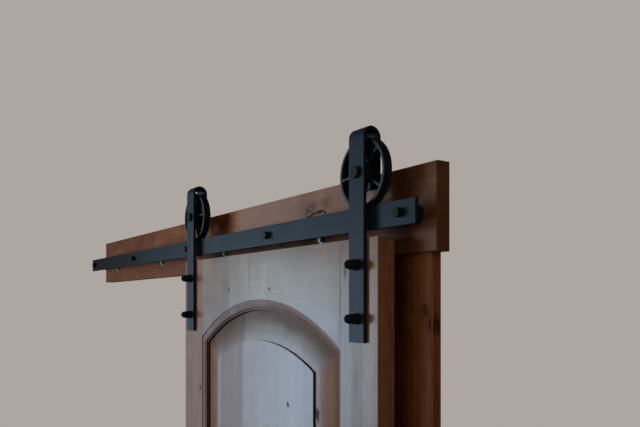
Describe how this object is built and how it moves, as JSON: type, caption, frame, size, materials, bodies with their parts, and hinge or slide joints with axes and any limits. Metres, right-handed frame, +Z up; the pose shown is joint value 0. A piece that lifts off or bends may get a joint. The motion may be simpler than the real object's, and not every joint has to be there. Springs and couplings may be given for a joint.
{
  "type": "sliding barn door on flat track",
  "caption": "A panelled sliding door hung by two spoked wheels on a flat steel rail, with the header board, casing and floor guide of its doorway.",
  "frame": {"origin": "where the middle rail bolt enters the wall", "axes": "+X along the rail to the right as seen from the room, +Y into the wall, +Z up; the wall plane is Y = 0"},
  "size_m": [1.7039, 0.166, 2.2292],
  "materials": {
    "stained_alder": "satin",
    "black_steel": "satin",
    "zinc_steel": "satin",
    "bearing_steel": "satin"
  },
  "bodies": {
    "frame": {"header_board": "stained_alder", "header_screws": "zinc_steel", "casing_left": "stained_alder", "casing_right": "stained_alder", "rail": "black_steel", "rail_spacers": "black_steel", "rail_lag_bolts": "black_steel", "guide_bracket": "black_steel", "guide_channel": "black_steel", "guide_bolts": "black_steel", "guide_screws": "zinc_steel"},
    "door": {"stile_left": "stained_alder", "stile_right": "stained_alder", "top_rail": "stained_alder", "lock_rail": "stained_alder", "bottom_rail": "stained_alder", "upper_panel": "stained_alder", "lower_panel": "stained_alder", "rail_dowels": "stained_alder", "strap_left": "black_steel", "strap_right": "black_steel", "door_bolts": "black_steel", "back_washers": "black_steel", "front_washers": "black_steel", "acorn_nuts": "black_steel", "axle_bolts": "black_steel", "axle_nuts": "black_steel", "axle_sleeves": "black_steel", "bearing_inner_left": "bearing_steel", "bearing_inner_right": "bearing_steel", "pull_handle": "black_steel", "pull_screws": "black_steel"},
    "wheel_left": {"wheel_left": "black_steel", "bearing_outer_left": "bearing_steel", "bearing_balls_left": "bearing_steel"},
    "wheel_right": {"wheel_right": "black_steel", "bearing_outer_right": "bearing_steel", "bearing_balls_right": "bearing_steel"}
  },
  "joints": [
    {"name": "door_slide", "type": "slide", "parent": "frame", "child": "door", "axis": [1, 0, 0], "range_m": [-0.73, 0]},
    {"name": "wheel_left_spin", "type": "hinge", "parent": "door", "child": "wheel_left", "pos_m": [0.054, -0.063, 0.0753], "axis": [0, 1, 0], "continuous": true},
    {"name": "wheel_right_spin", "type": "hinge", "parent": "door", "child": "wheel_right", "pos_m": [0.724, -0.063, 0.0753], "axis": [0, 1, 0], "continuous": true}
  ],
  "couplings": [
    {"joint": "wheel_left_spin", "follows": "door_slide", "rad_per_m": 18.182},
    {"joint": "wheel_right_spin", "follows": "door_slide", "rad_per_m": 18.182}
  ]
}
